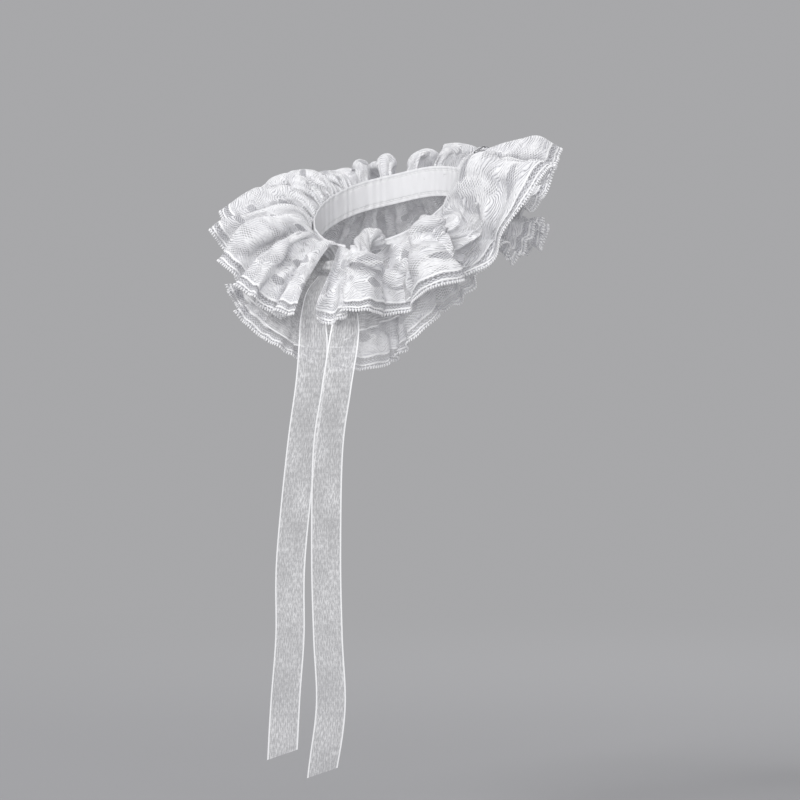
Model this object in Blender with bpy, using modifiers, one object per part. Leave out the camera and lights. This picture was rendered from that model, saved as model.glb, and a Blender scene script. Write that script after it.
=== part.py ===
"""Ruff collar: three gathered ruffles sewn to a neckband, and two ribbon ties at the centre front.

Metres, +Z up. The wearer faces -Y, and +X is the wearer's left. The origin is the centre of the
neckband's opening, where the neck holds the collar. The band lies on the base of the neck, so it
slopes down to the front. Every ruffle is a strip that rises off the band, rolls over, and stands
out in deep uneven folds: each is one surface of the fold number round the neck and of the share
of the strip's width out from the band.
"""

import math

import bmesh
import bpy
import numpy as np

# ---------------------------------------------------------------- driving sizes
NECK_RADIUS = 0.061  # inside of the band
BAND_HEIGHT = 0.025
BAND_WALL = 0.0012
BAND_GAP_TURN = 2.0  # degrees from the centre front to each end of the band
BAND_COLUMNS = 52
SEAM_GAP = 0.0006  # between a ruffle's gathered edge and the band
RUFFLE_WALL = 0.0010
RIBBON_WIDTH = 0.025
RIBBON_WALL = 0.0010
COLUMNS_PER_FOLD = 7
PROFILE_STEPS = 60  # fine steps that a ruffle's section is summed in
PART_FOLDS = 0.8  # folds over which a strip's ends stand back from the centre front
ROLL_END = 0.36  # share of the width over which a ruffle makes its early turn
TURN_ROUND = 360.0

# How the band and the ruffles stand at each turn from the centre front, in degrees towards the
# wearer's left. Band heights are to the middle of the band and the lift is the top ruffle's above
# its usual seam, both in metres. The roll is the share of the turn that the cloth makes early. A
# ruffle's reach is the share of its width that stands there once its small gathers are taken
# up, and its droop is how far below level it points at the hem, in degrees.
SECTION_COLUMNS = (
    "turn", "band_z", "top_lift", "roll",
    "top_reach", "top_droop", "organza_reach", "organza_droop", "under_reach", "under_droop",
)
SECTIONS = (
    (-150, 0.0190, 0.000, 0.40, 0.86, 38, 0.70, 42, 0.80, 42),
    (-120, 0.0105, 0.001, 0.40, 0.86, 36, 0.70, 42, 0.80, 42),
    (-90, -0.0030, 0.002, 0.42, 0.88, 36, 0.70, 40, 0.82, 34),
    (-60, -0.0200, 0.001, 0.50, 0.90, 42, 0.74, 44, 0.84, 36),
    (-35, -0.0325, -0.002, 0.62, 0.95, 54, 0.88, 60, 0.86, 50),
    (-12, -0.0405, -0.006, 0.74, 1.00, 64, 1.00, 74, 0.84, 70),
    (12, -0.0420, -0.004, 0.74, 1.00, 68, 0.96, 76, 0.94, 80),
    (35, -0.0355, -0.002, 0.72, 1.00, 74, 0.76, 72, 0.90, 84),
    (60, -0.0225, -0.002, 0.58, 1.00, 64, 0.56, 50, 0.66, 58),
    (90, 0.0000, 0.002, 0.42, 0.92, 22, 0.56, 22, 0.66, 24),
    (120, 0.0140, 0.000, 0.40, 0.80, 26, 0.60, 24, 0.76, 18),
    (150, 0.0230, 0.001, 0.40, 0.84, 30, 0.68, 38, 0.80, 40),
    (180, 0.0250, 0.000, 0.40, 0.86, 36, 0.70, 42, 0.80, 42),
)

# The ruffles, from the top down. The seam's height is from the middle of the band, and rise is
# the angle at which the cloth leaves the band. The fold share is how much of a fold's height
# this strip takes, growth the power of the width by which the folds deepen from the seam to the
# hem, drift the part of a fold by which the hem's folds have moved on from the ones at the band,
# and spread the share of a fold's lean and swell that this strip takes. The gap turn is where
# the strip's ends stand from the centre front, and part the further turn they make by the hem.
RUFFLE_COLUMNS = (
    "width", "seam_z", "rise", "fold_share", "growth", "drift", "spread", "gap_turn", "part_turn",
)
RUFFLES = {
    "ruffle_top_lace": (0.090, 0.006, 58, 1.00, 0.42, 0.00, 1.0, 1.6, 3.0),
    "ruffle_organza": (0.080, -0.001, -4, 0.70, 0.80, 0.03, 0.5, 2.4, 0.0),
    "ruffle_under_lace": (0.090, -0.008, -32, 0.61, 0.95, 0.04, 0.4, 2.4, 0.0),
}
RUFFLE_SECTION = {
    "ruffle_top_lace": ("top_reach", "top_droop"),
    "ruffle_organza": ("organza_reach", "organza_droop"),
    "ruffle_under_lace": ("under_reach", "under_droop"),
}
RUFFLE_ROWS = {
    "ruffle_top_lace": (0.0, 0.09, 0.19, 0.31, 0.62, 1.0),
    "ruffle_organza": (0.0, 0.15, 0.36, 1.0),
    "ruffle_under_lace": (0.0, 0.18, 0.42, 0.70, 1.0),
}

# The folds, a row for each: where its top stands, how high it stands at the hem, how far its top
# leans towards the wearer's left, and how much it swells out over the hollows beside it.
FOLD_COLUMNS = ("turn", "height", "lean", "swell")
FOLDS = (
    (20, 0.0140, -0.10, 0.30),
    (50, 0.0190, 0.10, 0.38),
    (82, 0.0250, 0.15, 0.34),
    (108, 0.0180, -0.10, 0.32),
    (132, 0.0190, 0.10, 0.36),
    (155, 0.0180, -0.20, 0.36),
    (177, 0.0180, 0.20, 0.40),
    (198, 0.0170, -0.20, 0.34),
    (216, 0.0160, 0.25, 0.36),
    (232, 0.0140, -0.10, 0.32),
    (246, 0.0130, 0.15, 0.34),
    (259, 0.0130, -0.20, 0.30),
    (272, 0.0140, 0.10, 0.34),
    (287, 0.0150, -0.15, 0.32),
    (303, 0.0160, 0.20, 0.36),
    (320, 0.0160, -0.20, 0.34),
    (337, 0.0130, 0.10, 0.30),
    (355, 0.0085, 0.00, 0.22),
)

# The middle line of each ribbon from the knot to its free end: across (+X), forward (-Y), height,
# the way its face looks, in degrees from straight ahead towards the wearer's left, and how much
# of its full width it has there, as it comes gathered out of the knot.
RIBBON_COLUMNS = ("across", "forward", "height", "facing", "open_share")
RIBBON_ROUTES = {
    "tie_ribbon_right": (
        (-0.0060, 0.0865, -0.0550, 4, 0.45),
        (-0.0065, 0.0975, -0.0680, 6, 0.70),
        (-0.0035, 0.1060, -0.0880, 8, 0.90),
        (0.0010, 0.1125, -0.1090, 12, 1.00),
        (-0.0005, 0.1145, -0.1400, 14, 1.00),
        (-0.0085, 0.1150, -0.1930, 17, 1.00),
        (-0.0195, 0.1140, -0.2800, 14, 1.00),
        (-0.0210, 0.1130, -0.3400, 13, 1.00),
        (-0.0260, 0.1120, -0.3900, 15, 1.00),
        (-0.0290, 0.1120, -0.4350, 20, 1.00),
    ),
    "tie_ribbon_left": (
        (0.0070, 0.0850, -0.0550, 8, 0.45),
        (0.0155, 0.0930, -0.0690, 10, 0.62),
        (0.0245, 0.1015, -0.0860, 12, 0.85),
        (0.0290, 0.1110, -0.1060, 14, 1.00),
        (0.0260, 0.1175, -0.1460, 15, 1.00),
        (0.0180, 0.1170, -0.1940, 18, 1.00),
        (0.0150, 0.1150, -0.2760, 16, 1.00),
        (0.0160, 0.1140, -0.3390, 14, 1.00),
        (0.0180, 0.1130, -0.3940, 15, 1.00),
        (0.0100, 0.1130, -0.4470, 19, 1.00),
    ),
}
RIBBON_STEPS = 30
RIBBON_END_SLANT = 0.009  # the free ends are cut aslant by this much
KNOT_CENTRE = (0.0000, -0.0845, -0.0475)
KNOT_HALF_SIZES = (0.0085, 0.0042, 0.0050)

COLLECTION_NAME = "ruff_collar"
MATERIALS = {
    "neckband": ("white cotton band", (0.78, 0.77, 0.76), 0.85),
    "ruffle_top_lace": ("white lace", (0.86, 0.86, 0.89), 0.80),
    "ruffle_organza": ("white organza", (0.80, 0.80, 0.84), 0.45),
    "ruffle_under_lace": ("white lace underneath", (0.82, 0.82, 0.86), 0.80),
    "tie_knot": ("ribbon knot", (0.80, 0.80, 0.82), 0.45),
    "tie_ribbon_left": ("organza ribbon", (0.78, 0.78, 0.80), 0.45),
    "tie_ribbon_right": ("organza ribbon", (0.78, 0.78, 0.80), 0.45),
}


# ---------------------------------------------------------------- tables and curves
def as_columns(names, rows):
    """A table's columns by name."""
    return dict(zip(names, np.array(rows, float).T))


def smooth_through(known_x, known_y, x):
    """A smooth curve through points: cubic between each two, its slope at each the mean one."""
    slope = np.gradient(known_y, known_x)
    span = np.clip(np.searchsorted(known_x, x, side="right") - 1, 0, len(known_x) - 2)
    width = known_x[span + 1] - known_x[span]
    t = (x - known_x[span]) / width
    start = (1 + 2 * t) * (1 - t) ** 2 * known_y[span] + t * (1 - t) ** 2 * width * slope[span]
    end = t * t * (3 - 2 * t) * known_y[span + 1] + t * t * (t - 1) * width * slope[span + 1]
    return start + end


def round_and_round(known_x, known_y, period, x, climb=0.0):
    """smooth_through for a table that repeats after each period, climbing by climb each time."""
    wide_x = np.concatenate([known_x - period, known_x, known_x + period])
    wide_y = np.concatenate([known_y - climb, known_y, known_y + climb])
    return smooth_through(wide_x, wide_y, x)


def section_at(turn, name):
    """A column of the section table at any turn from the centre front."""
    table = as_columns(SECTION_COLUMNS, SECTIONS)
    low = table["turn"][0]
    return round_and_round(table["turn"], table[name], TURN_ROUND, (turn - low) % TURN_ROUND + low)


def fold_at(number, name):
    """A column of the fold table at any place between folds, counted in folds."""
    table = as_columns(FOLD_COLUMNS, FOLDS)
    count = len(FOLDS)
    climb = TURN_ROUND if name == "turn" else 0.0
    return round_and_round(np.arange(count, dtype=float), table[name], count, number, climb)


# ---------------------------------------------------------------- the ruffles' surface
def ruffle_spec(name):
    """A ruffle's own row of the table, by column name."""
    return dict(zip(RUFFLE_COLUMNS, RUFFLES[name]))


def ruffle_section(name, turn, shares):
    """The plain section of a ruffle at each turn, before it is folded.

    The cloth leaves the band at its rise and turns down to its droop at the hem: its roll's
    share of that turn comes early, and the rest evenly over its whole width. Summing the way
    it points along its width gives its radius and height.
    """
    spec = ruffle_spec(name)
    steps = np.linspace(0.0, 1.0, PROFILE_STEPS + 1)
    early = np.clip(steps / ROLL_END, 0.0, 1.0)
    roll = section_at(turn, "roll")[:, None]
    over = roll * early * early * (3 - 2 * early) + (1 - roll) * steps
    reach, droop = (section_at(turn, column)[:, None] for column in RUFFLE_SECTION[name])
    angle = np.radians(spec["rise"] - (spec["rise"] + droop) * over)
    middle = (angle[:, 1:] + angle[:, :-1]) / 2
    step = spec["width"] * reach / PROFILE_STEPS
    first = np.zeros((len(turn), 1))
    radius = np.concatenate([first, np.cumsum(np.cos(middle) * step, 1)], 1)
    height = np.concatenate([first, np.cumsum(np.sin(middle) * step, 1)], 1)
    at = np.clip(np.asarray(shares) * PROFILE_STEPS, 0, PROFILE_STEPS)
    low = np.minimum(at.astype(int), PROFILE_STEPS - 1)
    part = at - low
    pick = lambda grid: grid[:, low] * (1 - part) + grid[:, low + 1] * part
    start_radius = NECK_RADIUS + BAND_WALL + SEAM_GAP + RUFFLE_WALL / 2
    lift = section_at(turn, "top_lift")
    start_z = section_at(turn, "band_z") + spec["seam_z"] + lift
    return pick(radius) + start_radius, pick(height) + start_z[:, None], pick(angle)


def ruffle_surface(name, numbers, shares):
    """Points of a ruffle for fold numbers by shares of its width, as a grid of columns by rows.

    A fold lifts the plain section by the cosine of the fold number, straight up where the cloth
    still rises and along its own normal where it falls, and moves it along the band by the sine
    at twice the pace, which swells the folds over the hollows.
    """
    spec = ruffle_spec(name)
    shares = np.asarray(shares, float)
    turn = fold_at(numbers, "turn")
    radius, height, angle = ruffle_section(name, turn, shares)
    phase = 2 * math.pi * (numbers[:, None] + spec["drift"] * shares ** 1.5)
    grown = fold_at(numbers, "height")[:, None] * spec["fold_share"] * shares ** spec["growth"]
    out = grown * np.cos(phase)
    along = spec["spread"] * grown * (
        fold_at(numbers, "swell")[:, None] * np.sin(2 * phase)
        + fold_at(numbers, "lean")[:, None] * np.cos(phase)
    )
    falling = np.minimum(angle, 0.0)
    radius = radius - out * np.sin(falling)
    height = height + out * np.cos(falling)
    first, last = ruffle_ends(name)
    parting = np.exp((first - numbers) / PART_FOLDS) - np.exp((numbers - last) / PART_FOLDS)
    turn = turn[:, None] + spec["part_turn"] * parting[:, None] * shares
    bearing = np.radians(turn) + along / radius
    return np.stack([radius * np.sin(bearing), -radius * np.cos(bearing), height], -1)


def ruffle_ends(name):
    """The fold numbers at a strip's two ends, which stand a little clear of the centre front."""
    gap = ruffle_spec(name)["gap_turn"]
    numbers = np.linspace(-1.5, len(FOLDS) + 0.5, 4000)
    turn = fold_at(numbers, "turn")
    first = np.interp(gap, turn, numbers)
    last = np.interp(TURN_ROUND - gap, turn, numbers)
    return first, last


# ---------------------------------------------------------------- making objects
def make_material(name):
    """A plain finish from the table of materials."""
    label, colour, roughness = MATERIALS[name]
    material = bpy.data.materials.get(label) or bpy.data.materials.new(label)
    material.use_nodes = True
    shader = material.node_tree.nodes["Principled BSDF"]
    shader.inputs["Base Color"].default_value = (*colour, 1.0)
    shader.inputs["Roughness"].default_value = roughness
    shader.inputs["Metallic"].default_value = 0.0
    return material


def add_object(name, mesh, collection):
    """Names a mesh's object, gives it its material and puts it in the collection."""
    mesh.materials.append(make_material(name))
    mesh.shade_smooth()
    thing = bpy.data.objects.new(name, mesh)
    collection.objects.link(thing)
    return thing


def sheet_from_grid(name, points, wall, collection):
    """Cloth from a grid of points, columns by rows, as an open surface with a wall."""
    columns, rows = points.shape[:2]
    index = np.arange(columns * rows).reshape(columns, rows)
    corners = (index[:-1, :-1], index[1:, :-1], index[1:, 1:], index[:-1, 1:])
    faces = np.stack(corners, -1).reshape(-1, 4)
    mesh = bpy.data.meshes.new(name)
    mesh.from_pydata(points.reshape(-1, 3).tolist(), [], faces.tolist())
    mesh.update()
    thing = add_object(name, mesh, collection)
    solidify = thing.modifiers.new("wall", "SOLIDIFY")
    solidify.thickness = wall
    solidify.offset = 0.0
    solidify.use_even_offset = False
    return thing


def build_neckband(collection):
    """The band: a strip that stands round the neck, open at the centre front."""
    turn = np.linspace(BAND_GAP_TURN, TURN_ROUND - BAND_GAP_TURN, BAND_COLUMNS + 1)
    middle = section_at(turn, "band_z")
    radius = NECK_RADIUS + BAND_WALL / 2
    across = radius * np.sin(np.radians(turn))
    forward = -radius * np.cos(np.radians(turn))
    edges = [np.stack([across, forward, middle + side * BAND_HEIGHT / 2], -1) for side in (-1, 1)]
    return sheet_from_grid("neckband", np.stack(edges, 1), BAND_WALL, collection)


def build_ruffle(name, collection):
    """One gathered strip, from its surface."""
    first, last = ruffle_ends(name)
    columns = int(round((last - first) * COLUMNS_PER_FOLD))
    numbers = np.linspace(first, last, columns + 1)
    points = ruffle_surface(name, numbers, RUFFLE_ROWS[name])
    return sheet_from_grid(name, points, RUFFLE_WALL, collection)


def ribbon_grid(name):
    """A ribbon's two edges along its route, each half a width to a side of the middle line."""
    route = as_columns(RIBBON_COLUMNS, RIBBON_ROUTES[name])
    known = np.arange(len(route["across"]), dtype=float)
    at = np.linspace(0.0, known[-1], RIBBON_STEPS + 1)
    curves = (smooth_through(known, route[column], at) for column in RIBBON_COLUMNS)
    across, forward, height, facing, open_share = curves
    sideways = np.stack([np.cos(np.radians(facing)), np.sin(np.radians(facing)), 0 * at], -1)
    middle = np.stack([across, -forward, height], -1)
    slant = np.zeros_like(middle)
    slant[-1, 2] = RIBBON_END_SLANT / 2
    half = sideways * open_share[:, None] * RIBBON_WIDTH / 2
    left = middle + half + slant
    right = middle - half - slant
    return np.stack([right, left], 1)


def build_ribbon(name, collection):
    """One free tail of a tie, from the knot to its slanting cut end."""
    return sheet_from_grid(name, ribbon_grid(name), RIBBON_WALL, collection)


def build_knot(collection):
    """The plain knot of the two ties, which the ruffle hides."""
    mesh = bpy.data.meshes.new("tie_knot")
    form = bmesh.new()
    bmesh.ops.create_uvsphere(form, u_segments=12, v_segments=7, radius=1.0)
    bmesh.ops.scale(form, vec=KNOT_HALF_SIZES, verts=form.verts)
    bmesh.ops.translate(form, vec=KNOT_CENTRE, verts=form.verts)
    form.to_mesh(mesh)
    form.free()
    return add_object("tie_knot", mesh, collection)


def build():
    """Clears the scene and builds the collar."""
    for thing in list(bpy.data.objects):
        bpy.data.objects.remove(thing, do_unlink=True)
    collection = bpy.data.collections.new(COLLECTION_NAME)
    bpy.context.scene.collection.children.link(collection)
    build_neckband(collection)
    for name in RUFFLES:
        build_ruffle(name, collection)
    build_knot(collection)
    for name in RIBBON_ROUTES:
        build_ribbon(name, collection)


build()
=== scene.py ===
"""How the ruff collar looks: three gathered ruffles on a neckband, tied with organza ribbon.

Every ruffle is a strip of cloth. Its surface is the plain section of the collar at each turn
round the neck, lifted into deep folds that are counted along the strip, and then into smaller
gathers, tucks and wrinkles. A strip's own flat measure, in metres along and across it, is its UV
map, so the lace is drawn on the flat strip and gathers with it.
"""

import math

import bpy
import numpy as np
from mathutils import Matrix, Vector


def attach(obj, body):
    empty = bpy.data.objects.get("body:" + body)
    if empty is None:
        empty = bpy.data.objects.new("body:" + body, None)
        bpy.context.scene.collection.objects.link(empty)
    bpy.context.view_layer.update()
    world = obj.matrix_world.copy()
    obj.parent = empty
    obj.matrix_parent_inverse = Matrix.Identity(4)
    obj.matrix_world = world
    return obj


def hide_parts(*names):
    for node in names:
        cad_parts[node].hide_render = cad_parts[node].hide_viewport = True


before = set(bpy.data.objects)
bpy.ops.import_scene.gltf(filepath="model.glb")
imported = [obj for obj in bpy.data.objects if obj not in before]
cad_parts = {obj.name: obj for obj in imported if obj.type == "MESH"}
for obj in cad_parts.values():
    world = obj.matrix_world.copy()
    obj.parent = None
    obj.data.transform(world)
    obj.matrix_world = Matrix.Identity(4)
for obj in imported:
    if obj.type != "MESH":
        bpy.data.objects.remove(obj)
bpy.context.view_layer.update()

# ---------------------------------------------------------------- sizes, in metres and degrees
TURN_ROUND = 360.0
ROUND = 2 * math.pi
MILLIMETRES = 1000.0

NECK_RADIUS = 0.061
BAND_HEIGHT = 0.025
BAND_WALL = 0.0012
BAND_GAP_TURN = 2.0
BAND_GRID = (541, 36)

# The band's section is squarer the lower its power, and it thins over the last of its turn. Its
# puckers have two depths, wavy and random, and stand in two rows, so far from its middle line.
BAND_SQUARENESS = 0.4
BAND_END_TURN = 0.6
BAND_END_THINNEST = 0.15
PUCKERS_A_DEGREE = 0.92
PUCKER_DEPTHS = (0.00035, 0.0003)
PUCKER_FROM_MIDDLE = 0.0093
PUCKER_REACH = 0.0035

# Each ruffle leaves the band after the seam's own thickness and half its cloth's. Its section is
# added up in steps, its roll ends at a share of the width, and its two ends part over the last
# folds.
SEAM_GAP = 0.0006
CLOTH_HALF = 0.0005
PROFILE_STEPS = 90
ROLL_END = 0.36
PART_FOLDS = 0.8

# A ribbon's end is cut aslant over the last of its route's steps.
RIBBON_WIDTH = 0.025
RIBBON_END_SLANT = 0.009
RIBBON_END_STEPS = 0.6
RIBBON_GRID = (160, 12)

# The knot. Its rings stop so far short of the poles, in radians. Its map takes it for ribbon: so
# many metres along and across for each radian, from so far in across.
KNOT_CENTRE = (0.0000, -0.0845, -0.0475)
KNOT_HALF_SIZES = (0.0085, 0.0042, 0.0050)
KNOT_GRID = (33, 48)
KNOT_POLE = 0.04
KNOT_MAP = (0.005, 0.004, 0.002)

# A picot's half sizes along the hem, down from it and through it, the share of its half length
# by which its middle hangs below the hem's edge, and where its rings stand on its half length.
PICOT_PITCH = 0.0023
PICOT_HALF_SIZES = (0.00085, 0.0014, 0.0007)
PICOT_HANG = 0.45
PICOT_RINGS = (-0.97, -0.6, 0.0, 0.6, 0.97)
PICOT_SIDES = 6

# How the band and the ruffles stand at each turn from the centre front, in degrees towards the
# wearer's left. Band heights are to the middle of the band and the lift is the top ruffle's above
# its usual seam, both in metres. The roll is the share of the turn that the cloth makes early. A
# ruffle's reach is the share of its width that stands there once its small gathers are taken
# up, and its droop is how far below level it points at the hem, in degrees.
SECTION_COLUMNS = (
    "turn", "band_z", "top_lift", "roll",
    "top_reach", "top_droop", "organza_reach", "organza_droop", "under_reach", "under_droop",
)
SECTIONS = (
    (-150, 0.0190, 0.000, 0.40, 0.86, 38, 0.70, 42, 0.80, 42),
    (-120, 0.0105, 0.001, 0.40, 0.86, 36, 0.70, 42, 0.80, 42),
    (-90, -0.0030, 0.002, 0.42, 0.88, 36, 0.70, 40, 0.82, 34),
    (-60, -0.0200, 0.001, 0.50, 0.90, 42, 0.74, 44, 0.84, 36),
    (-35, -0.0325, -0.002, 0.62, 0.95, 54, 0.88, 60, 0.86, 50),
    (-12, -0.0405, -0.006, 0.74, 1.00, 64, 1.00, 74, 0.84, 70),
    (12, -0.0420, -0.004, 0.74, 1.00, 68, 0.96, 76, 0.94, 80),
    (35, -0.0355, -0.002, 0.72, 1.00, 74, 0.76, 72, 0.90, 84),
    (60, -0.0225, -0.002, 0.58, 1.00, 64, 0.56, 50, 0.66, 58),
    (90, 0.0000, 0.002, 0.42, 0.92, 22, 0.56, 22, 0.66, 24),
    (120, 0.0140, 0.000, 0.40, 0.80, 26, 0.60, 24, 0.76, 18),
    (150, 0.0230, 0.001, 0.40, 0.84, 30, 0.68, 38, 0.80, 40),
    (180, 0.0250, 0.000, 0.40, 0.86, 36, 0.70, 42, 0.80, 42),
)

# The ruffles, from the top down. The seam's height is from the middle of the band, and rise is
# the angle at which the cloth leaves the band. The fold share is how much of a fold's height
# this strip takes, growth the power of the width by which the folds deepen from the seam to the
# hem, drift the part of a fold by which the hem's folds have moved on from the ones at the band,
# and spread the share of a fold's lean and swell that this strip takes. The gap turn is where
# the strip's ends stand from the centre front, and part the further turn they make by the hem.
RUFFLE_COLUMNS = (
    "width", "seam_z", "rise", "fold_share", "growth", "drift", "spread", "gap_turn", "part_turn",
)
RUFFLES = {
    "ruffle_top_lace": (0.090, 0.006, 58, 1.00, 0.42, 0.00, 1.0, 1.6, 3.0),
    "ruffle_organza": (0.080, -0.001, -4, 0.70, 0.80, 0.03, 0.5, 2.4, 0.0),
    "ruffle_under_lace": (0.090, -0.008, -32, 0.61, 0.95, 0.04, 0.4, 2.4, 0.0),
}
RUFFLE_SECTION = {
    "ruffle_top_lace": ("top_reach", "top_droop"),
    "ruffle_organza": ("organza_reach", "organza_droop"),
    "ruffle_under_lace": ("under_reach", "under_droop"),
}

# The folds, a row for each: where its top stands, how high it stands at the hem, how far its top
# leans towards the wearer's left, and how much it swells out over the hollows beside it.
FOLD_COLUMNS = ("turn", "height", "lean", "swell")
FOLDS = (
    (20, 0.0140, -0.10, 0.30),
    (50, 0.0190, 0.10, 0.38),
    (82, 0.0250, 0.15, 0.34),
    (108, 0.0180, -0.10, 0.32),
    (132, 0.0190, 0.10, 0.36),
    (155, 0.0180, -0.20, 0.36),
    (177, 0.0180, 0.20, 0.40),
    (198, 0.0170, -0.20, 0.34),
    (216, 0.0160, 0.25, 0.36),
    (232, 0.0140, -0.10, 0.32),
    (246, 0.0130, 0.15, 0.34),
    (259, 0.0130, -0.20, 0.30),
    (272, 0.0140, 0.10, 0.34),
    (287, 0.0150, -0.15, 0.32),
    (303, 0.0160, 0.20, 0.36),
    (320, 0.0160, -0.20, 0.34),
    (337, 0.0130, 0.10, 0.30),
    (355, 0.0085, 0.00, 0.22),
)

# The smaller folds of each strip: how many gathers, tucks and flutes stand on a main fold, and
# how deep each kind is. Gathers fade out from the seam, tucks stand in the middle, flutes at
# the hem, and wrinkles lie all over.
SMALL_COLUMNS = (
    "gathers", "gather_depth", "tucks", "tuck_depth",
    "flutes", "flute_depth", "puff_depth", "wrinkle_depth",
)
SMALL_FOLDS = {
    "ruffle_top_lace": (6.0, 0.0019, 2.6, 0.0044, 4.4, 0.0044, 0.0050, 0.0017),
    "ruffle_organza": (5.0, 0.0016, 2.0, 0.0024, 3.6, 0.0024, 0.0024, 0.0009),
    "ruffle_under_lace": (6.0, 0.0016, 2.3, 0.0030, 4.8, 0.0036, 0.0030, 0.0014),
}

# Each strip's grid, by columns along it and rows across, and its flat length.
STRIP_GRID = {
    "ruffle_top_lace": (1200, 78),
    "ruffle_organza": (700, 44),
    "ruffle_under_lace": (960, 60),
}
STRIP_LENGTH = {
    "ruffle_top_lace": 1.60,
    "ruffle_organza": 1.05,
    "ruffle_under_lace": 1.00,
}

# The creases placed one by one: on which strip, at which fold and share of the width, how many
# folds and shares it reaches, how far it stands out (or, if less than nought, in), how far it
# hangs over towards the hem, and how many folds it slants by from the seam to the hem.
CREASE_COLUMNS = ("fold", "share", "folds_wide", "shares_long", "height", "overhang", "slant")
CREASES = {
    "ruffle_top_lace": (
        (-0.62, 0.32, 0.26, 0.16, 0.0060, 0.0080, 0.0),
        (0.02, 0.50, 0.26, 0.10, 0.0080, 0.0120, 0.4),
        (0.12, 0.345, 0.25, 0.075, -0.0210, 0.0, 0.5),
        (0.18, 0.20, 0.46, 0.08, 0.0050, 0.0, 0.0),
        (0.46, 0.64, 0.09, 0.24, -0.0100, 0.0, 0.35),
        (0.74, 0.34, 0.10, 0.16, -0.0050, 0.0, -0.5),
        (0.88, 0.64, 0.18, 0.14, 0.0070, 0.0100, -0.4),
        (1.02, 0.17, 0.36, 0.12, -0.0100, 0.0, 0.0),
        (1.02, 0.34, 0.26, 0.10, 0.0030, 0.0070, 0.2),
        (1.05, 0.48, 0.28, 0.06, -0.0060, 0.0, 0.3),
        (1.25, 0.60, 0.10, 0.22, -0.0070, 0.0, -0.3),
        (1.50, 0.56, 0.28, 0.09, 0.0080, 0.0120, 0.2),
        (1.52, 0.28, 0.24, 0.09, 0.0040, 0.0080, 0.3),
        (1.56, 0.74, 0.24, 0.11, -0.0130, 0.0, 0.0),
        (1.60, 0.43, 0.16, 0.08, -0.0060, 0.0, 0.0),
        (1.82, 0.62, 0.08, 0.26, -0.0070, 0.0, 0.25),
        (2.02, 0.40, 0.15, 0.14, 0.0060, 0.0090, 0.0),
        (2.12, 0.95, 0.08, 0.22, 0.0060, 0.0, 0.0),
        (2.22, 0.60, 0.08, 0.28, -0.0080, 0.0, -0.25),
        (2.36, 0.95, 0.09, 0.22, -0.0060, 0.0, 0.2),
        (2.42, 0.36, 0.14, 0.16, 0.0060, 0.0080, -0.2),
        (2.58, 0.95, 0.09, 0.22, 0.0070, 0.0, 0.0),
        (2.62, 0.62, 0.08, 0.26, -0.0060, 0.0, 0.2),
        (2.84, 0.92, 0.08, 0.24, -0.0060, 0.0, -0.2),
        (3.15, 0.85, 0.50, 0.40, -0.0060, 0.0, 0.0),
        (3.30, 0.92, 0.08, 0.24, -0.0060, 0.0, 0.2),
        (3.50, 0.40, 0.30, 0.16, 0.0030, 0.0, 0.0),
        (3.55, 0.92, 0.08, 0.24, 0.0060, 0.0, 0.0),
        (4.05, 0.70, 0.30, 0.25, 0.0060, 0.0, 0.0),
        (5.40, 0.45, 0.20, 0.12, 0.0050, 0.0070, 0.3),
        (5.60, 0.30, 2.20, 0.32, -0.0060, 0.0, 0.0),
        (7.30, 0.55, 0.12, 0.25, -0.0060, 0.0, 0.4),
        (9.60, 0.40, 0.20, 0.12, 0.0050, 0.0060, 0.0),
        (11.40, 0.55, 0.12, 0.25, -0.0060, 0.0, 0.3),
        (12.50, 0.42, 0.20, 0.12, 0.0050, 0.0080, -0.3),
        (13.60, 0.50, 0.10, 0.28, -0.0050, 0.0, 0.2),
        (14.50, 0.60, 0.16, 0.14, 0.0050, 0.0080, 0.0),
        (15.10, 0.60, 0.14, 0.18, 0.0050, 0.0060, 0.0),
        (15.55, 0.66, 0.10, 0.20, -0.0060, 0.0, 0.3),
        (16.20, 0.50, 0.10, 0.26, -0.0060, 0.0, -0.4),
        (16.60, 0.36, 0.18, 0.12, 0.0060, 0.0090, 0.0),
    ),
    "ruffle_organza": (
        (0.35, 0.80, 0.22, 0.18, 0.0030, 0.0, 0.0),
        (16.40, 0.80, 0.25, 0.18, 0.0030, 0.0, 0.0),
    ),
    "ruffle_under_lace": (
        (0.45, 0.70, 0.10, 0.30, -0.0050, 0.0, 0.2),
        (1.30, 0.75, 0.12, 0.25, -0.0050, 0.0, -0.2),
        (16.30, 0.70, 0.10, 0.25, -0.0050, 0.0, 0.3),
    ),
}

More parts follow.
